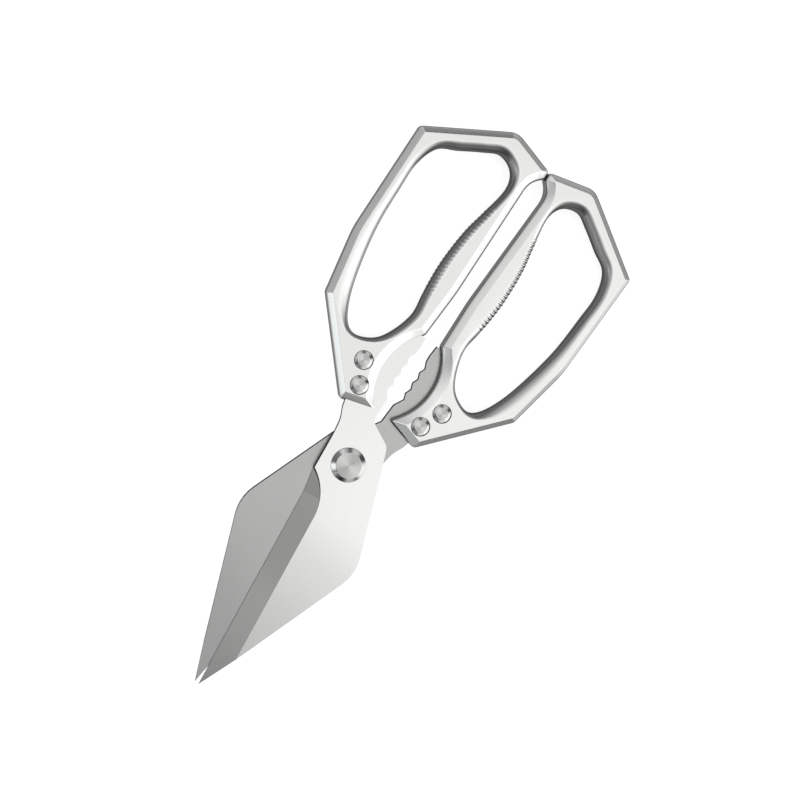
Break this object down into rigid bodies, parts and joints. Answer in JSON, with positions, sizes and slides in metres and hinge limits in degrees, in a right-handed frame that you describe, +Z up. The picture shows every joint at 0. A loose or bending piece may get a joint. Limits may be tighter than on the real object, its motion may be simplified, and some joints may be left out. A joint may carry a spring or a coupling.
{
  "type": "kitchen shears",
  "caption": "Metal kitchen shears with open bow handles, wide bevelled blades on a pivot and a toothed jaw between the handles for cracking and gripping.",
  "frame": {"origin": "on the pivot axis, in the plane of the flat back that the shears lie on", "axes": "+Z up out of the front face with the front pivot head, +Y from the pivot to the handles, +X to the right with the handles up and the front face towards the viewer"},
  "size_m": [0.0996, 0.237, 0.0093],
  "materials": {
    "blade_steel": "ground along the blade",
    "handle_alloy": "satin cast",
    "turned_steel": "turned, concentric",
    "washer_steel": "plain rolled"
  },
  "bodies": {
    "front_half": {"front_blade": "blade_steel", "left_handle": "handle_alloy", "pivot_barrel": "turned_steel", "pivot_screw": "turned_steel", "pivot_washer": "washer_steel", "left_upper_rivet_sleeve": "turned_steel", "left_upper_rivet_pin": "turned_steel", "left_lower_rivet_sleeve": "turned_steel", "left_lower_rivet_pin": "turned_steel"},
    "rear_half": {"rear_blade": "blade_steel", "right_handle": "handle_alloy", "right_upper_rivet_sleeve": "turned_steel", "right_upper_rivet_pin": "turned_steel", "right_lower_rivet_sleeve": "turned_steel", "right_lower_rivet_pin": "turned_steel"}
  },
  "joints": [
    {"name": "blade_pivot", "type": "hinge", "parent": "front_half", "child": "rear_half", "pos_m": [0, 0, 0], "axis": [0, 0, -1], "range_deg": [0, 80]}
  ]
}
